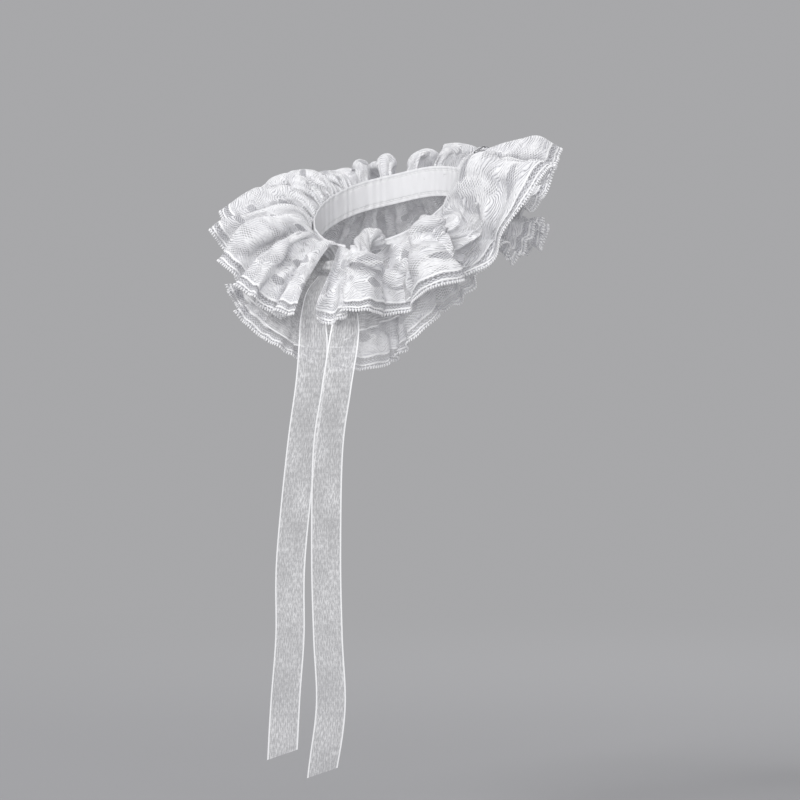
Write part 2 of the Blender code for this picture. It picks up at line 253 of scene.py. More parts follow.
# The middle line of each ribbon from the knot to its free end: across (+X), forward (-Y), height,
# the way its face looks, in degrees from straight ahead towards the wearer's left, and how much
# of its full width it has there, as it comes gathered out of the knot.
RIBBON_COLUMNS = ("across", "forward", "height", "facing", "open_share")
RIBBON_ROUTES = {
    "tie_ribbon_right": (
        (-0.0060, 0.0865, -0.0550, 4, 0.45),
        (-0.0065, 0.0975, -0.0680, 6, 0.70),
        (-0.0035, 0.1060, -0.0880, 8, 0.90),
        (0.0010, 0.1125, -0.1090, 12, 1.00),
        (-0.0005, 0.1145, -0.1400, 14, 1.00),
        (-0.0085, 0.1150, -0.1930, 17, 1.00),
        (-0.0195, 0.1140, -0.2800, 14, 1.00),
        (-0.0210, 0.1130, -0.3400, 13, 1.00),
        (-0.0260, 0.1120, -0.3900, 15, 1.00),
        (-0.0290, 0.1120, -0.4350, 20, 1.00),
    ),
    "tie_ribbon_left": (
        (0.0070, 0.0850, -0.0550, 8, 0.45),
        (0.0155, 0.0930, -0.0690, 10, 0.62),
        (0.0245, 0.1015, -0.0860, 12, 0.85),
        (0.0290, 0.1110, -0.1060, 14, 1.00),
        (0.0260, 0.1175, -0.1460, 15, 1.00),
        (0.0180, 0.1170, -0.1940, 18, 1.00),
        (0.0150, 0.1150, -0.2760, 16, 1.00),
        (0.0160, 0.1140, -0.3390, 14, 1.00),
        (0.0180, 0.1130, -0.3940, 15, 1.00),
        (0.0100, 0.1130, -0.4470, 19, 1.00),
    ),
}

# ---------------------------------------------------------------- tones and lights
WHITE = (0.95, 0.95, 0.96)
# Painted shade: the lace's low ground, net and slits take this darker white, as shade between its
# raised threads.
LACE_PAINTED_SHADE_WHITE = (0.72, 0.72, 0.75)
SHEER_WHITE = (0.90, 0.90, 0.92)
WOVEN_EDGE_WHITE = (0.97, 0.97, 0.98)
TAPE_WHITE = (0.90, 0.90, 0.91)
TAPE_DEEP = (0.78, 0.78, 0.80)
WORLD_GREY = (0.39, 0.39, 0.40, 1.0)
FLOOR_GREY = (0.34, 0.34, 0.35, 1.0)

# The floor, and the radii between which it melts into the world. Each light is a square sheet:
# its place, its side in metres and its watts.
FLOOR_Z = -0.50
FLOOR_RADII = (0.001, 0.5, 1.0, 2.0, 4.0, 8.0, 20.0, 60.0)
FLOOR_MELTS = (0.6, 2.6)
LIGHTS_AIM = (0.0, 0.0, -0.05)
LIGHTS = {
    "key": ((-0.6, -2.4, 2.4), 1.4, 54.0),
    "fill": ((1.9, -2.8, 1.1), 2.4, 54.0),
    "back": ((-0.8, 2.4, 1.6), 1.6, 50.0),
}

# The camera stands round to the wearer's left of straight ahead, a little above level, and looks
# at a point beside and below the neck's middle. Its view is so wide at that point.
CAMERA_TURN = 33.0
CAMERA_RISE = 1.0
CAMERA_DISTANCE = 3.2
VIEW_WIDE = 0.6504
VIEW_ASIDE = 0.0081
VIEW_Z = -0.1545
SENSOR_WIDE = 36.0

# ---------------------------------------------------------------- tables and curves


def as_columns(names, rows):
    """A table's columns by name."""
    return dict(zip(names, np.array(rows, float).reshape(-1, len(names)).T))


def smooth_through(known_x, known_y, x):
    """A smooth curve through points: cubic between each two, its slope at each the mean one."""
    slope = np.gradient(known_y, known_x)
    span = np.clip(np.searchsorted(known_x, x, side="right") - 1, 0, len(known_x) - 2)
    width = known_x[span + 1] - known_x[span]
    t = (x - known_x[span]) / width
    start = (1 + 2 * t) * (1 - t) ** 2 * known_y[span] + t * (1 - t) ** 2 * width * slope[span]
    end = t * t * (3 - 2 * t) * known_y[span + 1] + t * t * (t - 1) * width * slope[span + 1]
    return start + end


def round_and_round(known_x, known_y, period, x, climb=0.0):
    """smooth_through for a table that repeats after each period, climbing by climb each time."""
    wide_x = np.concatenate([known_x - period, known_x, known_x + period])
    wide_y = np.concatenate([known_y - climb, known_y, known_y + climb])
    return smooth_through(wide_x, wide_y, x)


def section_at(turn, name):
    """A column of the section table at any turn from the centre front."""
    table = as_columns(SECTION_COLUMNS, SECTIONS)
    low = table["turn"][0]
    return round_and_round(table["turn"], table[name], TURN_ROUND, (turn - low) % TURN_ROUND + low)


def fold_at(number, name):
    """A column of the fold table at any place between folds, counted in folds."""
    table = as_columns(FOLD_COLUMNS, FOLDS)
    count = len(FOLDS)
    climb = TURN_ROUND if name == "turn" else 0.0
    return round_and_round(np.arange(count, dtype=float), table[name], count, number, climb)


def smooth_noise(x, seed, spacing=1.0):
    """Even random heights from -1 to 1, one each spacing along x, with a smooth curve through."""
    places = np.arange(math.floor(x.min() / spacing) - 2, math.ceil(x.max() / spacing) + 3)
    heights = np.random.default_rng(seed).uniform(-1, 1, len(places))
    return smooth_through(places * spacing, heights, x)


def smooth_noise_grid(x, y, seed, x_spacing, y_spacing):
    """A smooth random field on the grid of x by y: noise along x for each of some rows in y."""
    rows = np.arange(math.floor(y.min() / y_spacing) - 2, math.ceil(y.max() / y_spacing) + 3)
    lines = np.stack([smooth_noise(x, seed + 97 * int(row - rows[0]), x_spacing) for row in rows])
    at = y / y_spacing - rows[0]
    low = np.floor(at).astype(int)
    t = at - low
    ease = t * t * (3 - 2 * t)
    return (lines[low] * (1 - ease[:, None]) + lines[low + 1] * ease[:, None]).T


# ---------------------------------------------------------------- the ruffles' surface


def ruffle_spec(name):
    """A ruffle's own row of the ruffle table, by column name."""
    return dict(zip(RUFFLE_COLUMNS, RUFFLES[name]))


def strip_width(name):
    """How wide a ruffle's strip is when it lies flat."""
    return ruffle_spec(name)["width"]


def ruffle_section(name, turn, shares):
    """The plain section of a ruffle at each turn: radius, height and angle by share of width.

    The cloth leaves the band at its rise and turns down to its droop at the hem: its roll's
    share of that turn comes early, and the rest evenly over its whole width.
    """
    spec = ruffle_spec(name)
    steps = np.linspace(0.0, 1.0, PROFILE_STEPS + 1)
    early = np.clip(steps / ROLL_END, 0.0, 1.0)
    roll = section_at(turn, "roll")[:, None]
    over = roll * early * early * (3 - 2 * early) + (1 - roll) * steps
    reach, droop = (section_at(turn, column)[:, None] for column in RUFFLE_SECTION[name])
    angle = np.radians(spec["rise"] - (spec["rise"] + droop) * over)
    middle = (angle[:, 1:] + angle[:, :-1]) / 2
    step = spec["width"] * reach / PROFILE_STEPS
    first = np.zeros((len(turn), 1))
    radius = np.concatenate([first, np.cumsum(np.cos(middle) * step, 1)], 1)
    height = np.concatenate([first, np.cumsum(np.sin(middle) * step, 1)], 1)
    at = np.clip(np.asarray(shares) * PROFILE_STEPS, 0, PROFILE_STEPS)
    low = np.minimum(at.astype(int), PROFILE_STEPS - 1)
    part = at - low
    radius, height, angle = (
        grid[:, low] * (1 - part) + grid[:, low + 1] * part for grid in (radius, height, angle)
    )
    start_radius = NECK_RADIUS + BAND_WALL + SEAM_GAP + CLOTH_HALF
    start_z = section_at(turn, "band_z") + spec["seam_z"] + section_at(turn, "top_lift")
    return radius + start_radius, height + start_z[:, None], angle


def ruffle_ends(name):
    """The fold numbers at a strip's two ends, which stand a little clear of the centre front."""
    gap = ruffle_spec(name)["gap_turn"]
    numbers = np.linspace(-1.5, len(FOLDS) + 0.5, 4000)
    turn = fold_at(numbers, "turn")
    return np.interp(gap, turn, numbers), np.interp(TURN_ROUND - gap, turn, numbers)


def main_folds(name, numbers, shares):
    """Points of a ruffle in its main folds, as a grid of columns by rows.

    A fold lifts the plain section by the cosine of the fold number, straight up where the cloth
    still rises and along its own normal where it falls, and moves it along the band by the sine
    at twice the pace, which swells the folds over the hollows.
    """
    spec = ruffle_spec(name)
    turn = fold_at(numbers, "turn")
    radius, height, angle = ruffle_section(name, turn, shares)
    phase = ROUND * (numbers[:, None] + spec["drift"] * shares ** 1.5)
    grown = fold_at(numbers, "height")[:, None] * spec["fold_share"] * shares ** spec["growth"]
    out = grown * np.cos(phase)
    along = spec["spread"] * grown * (
        fold_at(numbers, "swell")[:, None] * np.sin(2 * phase)
        + fold_at(numbers, "lean")[:, None] * np.cos(phase)
    )
    falling = np.minimum(angle, 0.0)
    radius = radius - out * np.sin(falling)
    height = height + out * np.cos(falling)
    first, last = ruffle_ends(name)
    parting = np.exp((first - numbers) / PART_FOLDS) - np.exp((numbers - last) / PART_FOLDS)
    turn = turn[:, None] + spec["part_turn"] * parting[:, None] * shares
    bearing = np.radians(turn) + along / radius
    return np.stack([radius * np.sin(bearing), -radius * np.cos(bearing), height], -1)


def arches(place):
    """Round ridges with narrow valleys between them, one to each whole number, about -1 to 1."""
    return 2.2 * np.sqrt(np.sin(math.pi * place) ** 2 + 0.02) - 1.35


def waves(place):
    """Even waves, one to each whole number, from -1 to 1."""
    return np.cos(ROUND * place)


def small_relief(name, numbers, shares):
    """How far a strip's smaller folds stand out from its main ones, by column and row.

    Each kind is a row of ridges along the strip whose pace wanders, times a share of the width
    where that kind stands: gathers fade from the seam, tucks swell in the middle, flutes grow
    towards the hem. The ridges wander sideways too as they run to the hem, so they fork and
    meet. Puffs and wrinkles are smooth random fields, wide and small. The spacings of what is
    random are in folds along the strip and in shares of the width across it.
    """
    small = dict(zip(SMALL_COLUMNS, SMALL_FOLDS[name]))
    seed = 11 + 7 * list(RUFFLES).index(name)
    near_seam = np.clip(shares / 0.02, 0, 1) * np.exp(-((shares / 0.26) ** 1.3))
    middle = np.clip((shares - 0.10) / 0.25, 0, 1) * np.exp(-((shares - 0.50) / 0.36) ** 2)
    near_hem = shares**3
    free = np.clip((shares - 0.08) / 0.32, 0, 1)

    relief = 0.0
    for kind, depth, own_seed, wander, sideways, ridge, stands in (
        ("gathers", "gather_depth", seed + 1, 0.10, 0.03, arches, near_seam),
        ("tucks", "tuck_depth", seed + 3, 0.20, 0.16, arches, middle),
        ("flutes", "flute_depth", seed + 5, 0.16, 0.05, waves, near_hem),
    ):
        uneven = 0.70 + 0.60 * smooth_noise_grid(numbers, shares, own_seed, 0.30, 0.50)
        place = numbers[:, None] + wander * smooth_noise(numbers, own_seed + 1, 0.45)[:, None]
        place = place + sideways * smooth_noise_grid(numbers, shares, own_seed + 401, 0.40, 0.35)
        relief = relief + small[depth] * uneven * ridge(place * small[kind]) * stands
    puffs = smooth_noise_grid(numbers, shares, seed + 90, 0.36, 0.30)
    wrinkles = smooth_noise_grid(numbers, shares, seed + 50, 0.13, 0.13)
    return relief + small["puff_depth"] * puffs * free + small["wrinkle_depth"] * wrinkles * free


def placed_creases(name, numbers, shares):
    """How far the placed creases move a strip out and over towards its hem, by column and row."""
    out = np.zeros((len(numbers), len(shares)))
    over = np.zeros_like(out)
    for crease in CREASES[name]:
        place = dict(zip(CREASE_COLUMNS, crease))
        aside = numbers[:, None] - place["fold"] - place["slant"] * (shares - place["share"])
        near = np.exp(-((aside / place["folds_wide"]) ** 2))
        near = near * np.exp(-(((shares - place["share"]) / place["shares_long"]) ** 2))
        out = out + place["height"] * near
        over = over + place["overhang"] * near
    return out, over


def units(vectors):
    """Vectors at their own directions and a length of one."""
    return vectors / np.maximum(np.linalg.norm(vectors, axis=-1, keepdims=True), 1e-12)


def normals_of(points):
    """The unit normal at each point of a grid, on the side that is up and outwards."""
    return units(np.cross(np.gradient(points, axis=1), np.gradient(points, axis=0)))


def dressed_strip(name):
    """A strip's points in all its folds, and the fold number of each of its columns."""
    columns, rows = STRIP_GRID[name]
    first, last = ruffle_ends(name)
    numbers = np.linspace(first, last, columns + 1)
    shares = np.linspace(0.0, 1.0, rows + 1)
    points = main_folds(name, numbers, shares)
    normal = normals_of(points)
    across = units(np.gradient(points, axis=1))
    out, over = placed_creases(name, numbers, shares)
    points = points + normal * out[:, :, None] + across * over[:, :, None]
    relief = small_relief(name, numbers, shares)
    points = points + normals_of(points) * relief[:, :, None]
    return points, numbers


# ---------------------------------------------------------------- making pieces


def add_piece(name, mesh, node, material):
    """An object for a mesh, riding on the collar and standing for a node of it."""
    mesh.materials.append(material)
    mesh.shade_smooth()
    piece = bpy.data.objects.new(name, mesh)
    bpy.context.scene.collection.objects.link(piece)
    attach(piece, "root")
    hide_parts(node)
    return piece


def grid_faces(columns, rows, around=False):
    """The four corners of every face of a grid, its last row joined to its first if around."""
    index = np.arange(columns * rows).reshape(columns, rows)
    if around:
        index = np.concatenate([index, index[:, :1]], 1)
    corners = (index[:-1, :-1], index[:-1, 1:], index[1:, 1:], index[1:, :-1])
    return np.stack(corners, -1).reshape(-1, 4)


def closed_skin(columns, rows):
    """The faces of a row of rings, a column of the grid each, and of the caps on its two ends.

    A cap is a fan of four-cornered faces from the ring's first point, two sides at a time, so a
    ring has an even number of points. The faces look outwards where each ring goes
    anticlockwise, as it is seen along the row from its first end.
    """
    side = np.arange(1, rows - 2, 2)
    cap = np.stack([0 * side, side, side + 1, side + 2], -1)
    far_cap = cap + (columns - 1) * rows
    return np.concatenate([grid_faces(columns, rows, around=True)[:, ::-1], cap, far_cap[:, ::-1]])


def mesh_from(name, points, faces):
    """A mesh from whole arrays of points and four-cornered faces."""
    mesh = bpy.data.meshes.new(name)
    mesh.vertices.add(len(points))
    mesh.vertices.foreach_set("co", np.asarray(points, np.float32).ravel())
    mesh.loops.add(faces.size)
    mesh.loops.foreach_set("vertex_index", faces.astype(np.int32).ravel())
    mesh.polygons.add(len(faces))
    mesh.polygons.foreach_set("loop_start", np.arange(0, faces.size, 4, dtype=np.int32))
    mesh.update(calc_edges=True)
    return mesh


def set_strip_map(mesh, along, across):
    """The UV map of a strip: metres along it, by column, and across it, by row or by point."""
    flat = np.stack(np.broadcast_arrays(along[:, None], across), -1).reshape(-1, 2)
    corner = np.empty(len(mesh.loops), np.int32)
    mesh.loops.foreach_get("vertex_index", corner)
    layer = mesh.uv_layers.new(name="strip")
    layer.uv.foreach_set("vector", flat[corner].astype(np.float32).ravel())


def cloth_mesh(name, points, along, across):
    """A sheet of cloth from its grid of points, with its flat measure as its UV map."""
    columns, rows = points.shape[:2]
    mesh = mesh_from(name, points.reshape(-1, 3), grid_faces(columns, rows))
    set_strip_map(mesh, along, across)
    return mesh


# ---------------------------------------------------------------- finishes


class Reading:
    """A number read at every point of a surface, and the sums on it as a material's math nodes."""

    def __init__(self, tree, socket):
        self.tree = tree
        self.socket = socket

    def math(self, operation, *values, clamp=False):
        """What a math node makes of this reading and the further values."""
        made = self.tree.nodes.new("ShaderNodeMath")
        made.operation = operation
        made.use_clamp = clamp
        for socket, value in zip(made.inputs, (self, *values)):
            put(self.tree, value, socket)
        return Reading(self.tree, made.outputs[0])

    def __add__(self, other):
        return self.math("ADD", other)

    def __sub__(self, other):
        return self.math("SUBTRACT", other)

    def __rsub__(self, other):
        return self.math("MULTIPLY_ADD", -1.0, other)

    def __mul__(self, other):
        return self.math("MULTIPLY", other)

    def __abs__(self):
        return self.math("ABSOLUTE")

    def most(self, other, clamp=False):
        return self.math("MAXIMUM", other, clamp=clamp)

    def least(self, other):
        return self.math("MINIMUM", other)

    def wave(self, length, shift=0.0):
        """The sine of a place, once round each length."""
        return self.math("MULTIPLY_ADD", ROUND / length, shift).math("SINE")

    def off_centre(self, pitch, shift=0.0):
        """How far a place is from the middle of its repeat, in the place's own measure."""
        return (self + shift).math("WRAP", pitch / 2, -pitch / 2)

    def step(self, low, high):
        """Nought below low, one above high, smooth between; falls instead if high is below low."""
        made = self.tree.nodes.new("ShaderNodeMapRange")
        made.interpolation_type = "SMOOTHSTEP"
        put(self.tree, self, made.inputs["Value"])
        made.inputs["From Min"].default_value = min(low, high)
        made.inputs["From Max"].default_value = max(low, high)
        made.inputs["To Min"].default_value = 0.0 if low < high else 1.0
        made.inputs["To Max"].default_value = 1.0 if low < high else 0.0
        return Reading(self.tree, made.outputs["Result"])

    def between(self, low, low_end, high_end, high):
        """One from low_end to high_end, nought below low and above high, smooth between."""
        return self.step(low, low_end) * self.step(high, high_end)

    def near(self, middle, far, close):
        """One within close of a middle, nought further from it than far, smooth between."""
        return abs(self - middle).step(far, close)


def put(tree, value, socket):
    """Joins a reading to a socket, or sets the socket to a plain value."""
    if isinstance(value, Reading):
        tree.links.new(value.socket, socket)
    else:
        socket.default_value = value


def noise_at(tree, place, scale, detail=2.0, dimensions="2D"):
    """A soft random reading, nought to one, of the place that a vector socket gives."""
    noise = tree.nodes.new("ShaderNodeTexNoise")
    noise.noise_dimensions = dimensions
    noise.inputs["Scale"].default_value = scale
    noise.inputs["Detail"].default_value = detail
    tree.links.new(place, noise.inputs["Vector"])
    return Reading(tree, noise.outputs["Fac"])


def noise_over(x, y, detail=2.0):
    """A soft random reading of two places, which draws it out by its own scale each way."""
    place = x.tree.nodes.new("ShaderNodeCombineXYZ")
    put(x.tree, x, place.inputs["X"])
    put(x.tree, y, place.inputs["Y"])
    return noise_at(x.tree, place.outputs[0], 1.0, detail)


def strip_places(tree):
    """The millimetres along and across the strip, from its map."""
    flat = tree.nodes.new("ShaderNodeUVMap")
    flat.uv_map = "strip"
    parts = tree.nodes.new("ShaderNodeSeparateXYZ")
    tree.links.new(flat.outputs["UV"], parts.inputs[0])
    return (Reading(tree, parts.outputs[axis]) * MILLIMETRES for axis in "XY")


def white_cloth(name, roughness, sheen):
    """A new material with its shader, and the tree that its patterns are written in."""
    material = bpy.data.materials.new(name)
    material.use_nodes = True
    shader = material.node_tree.nodes["Principled BSDF"]
    shader.inputs["Roughness"].default_value = roughness
    shader.inputs["Sheen Weight"].default_value = sheen
    shader.inputs["Sheen Roughness"].default_value = 0.5
    shader.inputs["Specular IOR Level"].default_value = 0.3
    return material, shader, material.node_tree


def raise_cloth(tree, shader, relief, depth):
    """Gives the cloth a fine relief: depth is how far a reading of one stands up, in metres."""
    bump = tree.nodes.new("ShaderNodeBump")
    bump.inputs["Strength"].default_value = 1.0
    bump.inputs["Distance"].default_value = depth
    put(tree, relief, bump.inputs["Height"])
    tree.links.new(bump.outputs["Normal"], shader.inputs["Normal"])


def colour_cloth(tree, shader, low_tone, high_tone, height):
    """Colours the cloth from one tone where it lies low to another where it stands up."""
    # On the lace, the darker low tone is painted shade in the low places between the raised threads.
    mix = tree.nodes.new("ShaderNodeMix")
    mix.data_type = "RGBA"
    put(tree, height, mix.inputs["Factor"])
    mix.inputs["A"].default_value = (*low_tone, 1.0)
    mix.inputs["B"].default_value = (*high_tone, 1.0)
    tree.links.new(mix.outputs["Result"], shader.inputs["Base Color"])


def lace_windows(along, inward, uneven):
    """How far each place is from the nearest window's middle, with one on the window's edge.

    The windows are ovals on three rows, each row at its own place in from the hem with its own
    pitch and half sizes, in millimetres. The strip's unevenness pushes them out of shape.
    """
    nearest = None
    for row, pitch, shift, half_long, half_wide in (
        (25.0, 39.0, 0.0, 7.0, 3.6),
        (50.0, 47.0, 20.0, 8.0, 4.2),
        (71.0, 35.0, 9.0, 5.0, 3.4),
    ):
        x = along.off_centre(pitch, shift) * (1 / half_long)
        y = (inward - row) * (1 / half_wide)
        oval = (x * x + y * y).math("SQRT") + uneven * 2.4
        nearest = oval if nearest is None else nearest.least(oval)
    return nearest


def lace_material(name, width):
    """Figured lace: close wavy cords with slits between, net windows, and a net band at the hem.

    The cords run along the strip and follow two slow waves, so they draw nested curves. In
    patches the ground between them is worked close, and all of it is stippled. The windows are
    soft-edged ovals of open net with a rim. Inwards from its edge, the hem has a row of slits, a
    cord, a band of net with a ladder row, and a thick cord. The low ground, net and slits are
    painted a darker white than the raised cords and rims, as painted shade between the raised
    threads. All places are in millimetres.
    """
    material, shader, tree = white_cloth(name, 0.85, 0.15)
    along, across = strip_places(tree)
    inward = width * MILLIMETRES - across
    uneven = noise_over(along * 0.080, across * 0.080) - 0.5

    edge = inward + along.wave(13.0) * 0.5
    ground = edge.step(10.0, 11.0)
    thick_cord = edge.between(8.1, 8.7, 10.0, 10.6)
    net_band = edge.between(3.4, 3.9, 8.1, 8.6)
    thin_cord = edge.between(1.7, 2.0, 3.3, 3.6)
    rungs = along.off_centre(2.3).near(0.0, 0.95, 0.60) * edge.near(6.9, 0.95, 0.60)
    edge_slits = along.off_centre(2.3, 1.15).near(0.0, 0.85, 0.50) * inward.between(0.5, 0.8, 1.7, 2.0)

    windows = lace_windows(along, inward, uneven)
    window = windows.step(1.10, 0.80)
    rim = windows.near(1.10, 0.13, 0.05)
    solid = (1.0 - window) * ground

    wavy = inward + along.wave(41.0) * 4.0 + along.wave(17.0, 1.0) * 1.6 + uneven * 10.0
    off_cord = abs(wavy.off_centre(2.2))
    worked_close = noise_over(along * 0.062, across * 0.062).step(0.44, 0.56) * 0.80
    stipple = noise_over(along * 0.62, across * 0.62, 1.0).step(0.36, 0.60)
    cords = (off_cord.step(0.75, 0.35) * 0.85).most(worked_close) * (stipple * 0.40 + 0.62)
    loose = (uneven + along.wave(53.0) * 0.06).step(-0.02, 0.12)
    slits = off_cord.step(0.80, 1.05) * (loose * 0.70 + 0.16) * solid * (1.0 - rim)

    net = (abs((along + inward).wave(4.4)) * abs((along - inward).wave(4.4))).step(0.26, 0.52)
    thin_ground = uneven.step(0.02, -0.14) * 0.55
    netted = (window.most(thin_ground) * ground).most(net_band)
    holes = (net * netted).most(slits).most(edge_slits.most(rungs)) * 0.88

    raised_and_painted_light = (cords * solid).most(rim * ground).most(thick_cord.most(thin_cord))
    threads = (along + inward * 0.3).wave(1.3) * 0.10
    # Painted shade: the lace is coloured darker where it lies low and white where its cords and rims
    # stand up.
    colour_cloth(tree, shader, LACE_PAINTED_SHADE_WHITE, WHITE, raised_and_painted_light)
    put(tree, 1.0 - holes, shader.inputs["Alpha"])
    raise_cloth(tree, shader, raised_and_painted_light - holes * 0.5 + threads, 0.0003)
    return material


def organza_material(name, width, open_share, two_edges):
    """Sheer crisp cloth: fine threads both ways, slubs and lengthwise streaks, softly clouded.

    Open share is how much of it is open on the whole. A woven edge is close and bright, along
    the hem or along both edges. All places are in millimetres.
    """
    material, shader, tree = white_cloth(name, 0.42, 0.5)
    along, across = strip_places(tree)
    whole = width * MILLIMETRES
    inward = whole - across
    weave = (along.wave(1.3) + inward.wave(1.3)) * 0.04
    streaks = noise_over(along * 0.03, inward * 1.3, 3.0) - 0.5
    clouds = noise_over(along * 0.028, inward * 0.06) - 0.5
    slubs = noise_over(along * 0.25, inward * 1.1).step(0.34, 0.66)
    woven_edge = inward.step(1.5, 1.0)
    if two_edges:
        woven_edge = woven_edge.most(inward.step(whole - 1.5, whole - 1.0))
    bright = slubs.most(woven_edge)
    cover = weave + (1.0 - open_share) + streaks * 0.55 + clouds * 0.75
    colour_cloth(tree, shader, [0.62 * part for part in SHEER_WHITE], WOVEN_EDGE_WHITE, bright)
    put(tree, cover.most(woven_edge * 0.97, clamp=True), shader.inputs["Alpha"])
    raise_cloth(tree, shader, weave + bright, 0.0002)
    return material


def thread_material(name):
    """Close white thread, a little rough."""
    material, shader, tree = white_cloth(name, 0.8, 0.2)
    shader.inputs["Base Color"].default_value = (*WHITE, 1.0)
    place = tree.nodes.new("ShaderNodeTexCoord").outputs["Object"]
    raise_cloth(tree, shader, noise_at(tree, place, 1600.0, dimensions="3D"), 0.0003)
    return material


def tape_material(name):
    """Woven cotton tape, with a row of sunk stitches near each edge. All in millimetres."""
    material, shader, tree = white_cloth(name, 0.9, 0.2)
    along, up = strip_places(tree)
    weave = (along + up).wave(1.6) * 0.10 + (along - up).wave(2.3) * 0.05
    from_edge = BAND_HEIGHT / 2 * MILLIMETRES - abs(up)
    stitches = from_edge.near(3.2, 0.75, 0.40) * along.off_centre(3.4).near(0.0, 1.35, 1.05)
    sunk = from_edge.near(3.2, 1.6, 0.4)
    colour_cloth(tree, shader, TAPE_DEEP, TAPE_WHITE, stitches * 0.5 + 0.5)
    raise_cloth(tree, shader, weave + stitches * 0.8 - sunk * 0.9, 0.0004)
    return material


# ---------------------------------------------------------------- the ruffles


def from_hem(points, width):
    """The place of each point across its strip, measured over its folds from the hem's width."""
    step = np.linalg.norm(np.diff(points, axis=1), axis=-1)
    to_hem = np.cumsum(step[:, ::-1], 1)[:, ::-1]
    return width - np.concatenate([to_hem, np.zeros((len(points), 1))], 1)


def build_ruffle(name, material):
    """A strip of cloth in its folds, and its points."""
    points, numbers = dressed_strip(name)
    along = (numbers - numbers[0]) / (numbers[-1] - numbers[0]) * STRIP_LENGTH[name]
    mesh = cloth_mesh(name, points, along, from_hem(points, strip_width(name)))
    return add_piece(name.replace("ruffle", "cloth"), mesh, name, material), points


def build_picots(name, points, material):
    """The row of thread loops along a lace hem: small long beads, one each pitch of the hem.

    A bead's rings stand along the cloth's own slope at the hem. A ring at share t of its half
    length has the radius of an oval there, the square root of one less t squared.
    """
    hem = points[:, -1]
    step = np.linalg.norm(np.diff(hem, axis=0), axis=-1)
    run = np.concatenate([[0.0], np.cumsum(step)])
    at = np.arange(PICOT_PITCH / 2, run[-1], PICOT_PITCH)
    centre, side, down = (
        np.stack([np.interp(at, run, values[:, k]) for k in range(3)], -1)
        for values in (hem, np.gradient(hem, axis=0), hem - points[:, -4])
    )
    side = units(side)
    down = units(down)
    face = units(np.cross(side, down))
    half_along, half_down, half_thick = PICOT_HALF_SIZES
    turns = np.arange(PICOT_SIDES) / PICOT_SIDES * ROUND
    lengths = np.array(PICOT_RINGS)
    round_off = np.sqrt(1 - lengths**2)
    ring_side = round_off[:, None] * np.cos(turns) * half_along
    ring_face = round_off[:, None] * np.sin(turns) * half_thick
    ring_down = (lengths * half_down + half_down * PICOT_HANG)[:, None]
    bead = (
        side[:, None, None] * ring_side[None, :, :, None]
        + face[:, None, None] * ring_face[None, :, :, None]
        + down[:, None, None] * ring_down[None, :, :, None]
        + centre[:, None, None]
    )
    skin = closed_skin(len(lengths), len(turns))
    faces = (skin[None] + ring_face.size * np.arange(len(at))[:, None, None]).reshape(-1, 4)
    mesh = mesh_from(name, bead.reshape(-1, 3), faces)
    return add_piece(name.replace("ruffle", "picots"), mesh, name, material)


def squared(values):
    """Sines or cosines brought nearer to one, with their own signs."""
    return np.sign(values) * np.abs(values) ** BAND_SQUARENESS


def build_band(material):
    """The neckband: a flat tape with round folded edges, drawn up a little by the gathers.

    Its section is an oval flattened into a tape: height and thickness are the sine and cosine
    round it, each brought nearer to one by a low power. Near the two ends it thins. Puckers are
    small waves of the turn, deepest along the two rows where the ruffles are stitched.
    """
    columns, rows = BAND_GRID
    turns = np.linspace(BAND_GAP_TURN, TURN_ROUND - BAND_GAP_TURN, columns)
    round_it = np.arange(rows) / rows * ROUND
    up = squared(np.sin(round_it)) * (BAND_HEIGHT / 2)
    thick = squared(np.cos(round_it)) * (BAND_WALL / 2)
    from_end = np.minimum(turns - turns[0], turns[-1] - turns)
    end = np.clip(from_end / BAND_END_TURN, BAND_END_THINNEST, 1.0) ** 0.5
    wavy, random = PUCKER_DEPTHS
    pucker = wavy * np.cos(turns * PUCKERS_A_DEGREE + 2.0 * smooth_noise(turns, 5, 9.0))
    pucker = pucker + random * smooth_noise(turns, 8, 3.0)
    inner = NECK_RADIUS + BAND_WALL / 2
    fade = np.exp(-(((np.abs(up) - PUCKER_FROM_MIDDLE) / PUCKER_REACH) ** 2))
    radius = inner + thick * end[:, None] + pucker[:, None] * fade
    height = section_at(turns, "band_z")[:, None] + up * (0.9 + 0.1 * end[:, None])
    bearing = np.radians(turns)[:, None]
    points = np.stack([radius * np.sin(bearing), -radius * np.cos(bearing), height], -1)
    mesh = mesh_from("neckband", points.reshape(-1, 3), closed_skin(columns, rows))
    set_strip_map(mesh, np.radians(turns) * inner, up)
    return add_piece("band_tape", mesh, "neckband", material)


def build_knot(material):
    """The knot: an oval ball of organza whose skin swells in turns of ribbon that lie aslant.

    A ball's own angles, the fall from its top and the turn around it, give its points; its
    radius swells in three arches down the ball, which tilt with the sine of the turn.
    """
    columns, rows = KNOT_GRID
    rounds = np.arange(rows) / rows * ROUND
    falls = np.linspace(KNOT_POLE, math.pi - KNOT_POLE, columns)
    around, fall = np.meshgrid(rounds, falls)
    wraps = arches(3.0 * fall / math.pi + 0.35 * np.sin(around))
    swell = 1.0 + 0.09 * wraps + 0.03 * np.cos(7 * around + 3 * fall)
    ball = np.stack([np.sin(fall) * np.cos(around), np.sin(fall) * np.sin(around), np.cos(fall)], -1)
    points = ball * swell[..., None] * np.array(KNOT_HALF_SIZES) + np.array(KNOT_CENTRE)
    mesh = mesh_from("tie_knot", points.reshape(-1, 3), closed_skin(columns, rows))
    down, across, start = KNOT_MAP
    set_strip_map(mesh, falls * down, rounds * across + start)
    return add_piece("knot_wraps", mesh, "tie_knot", material)


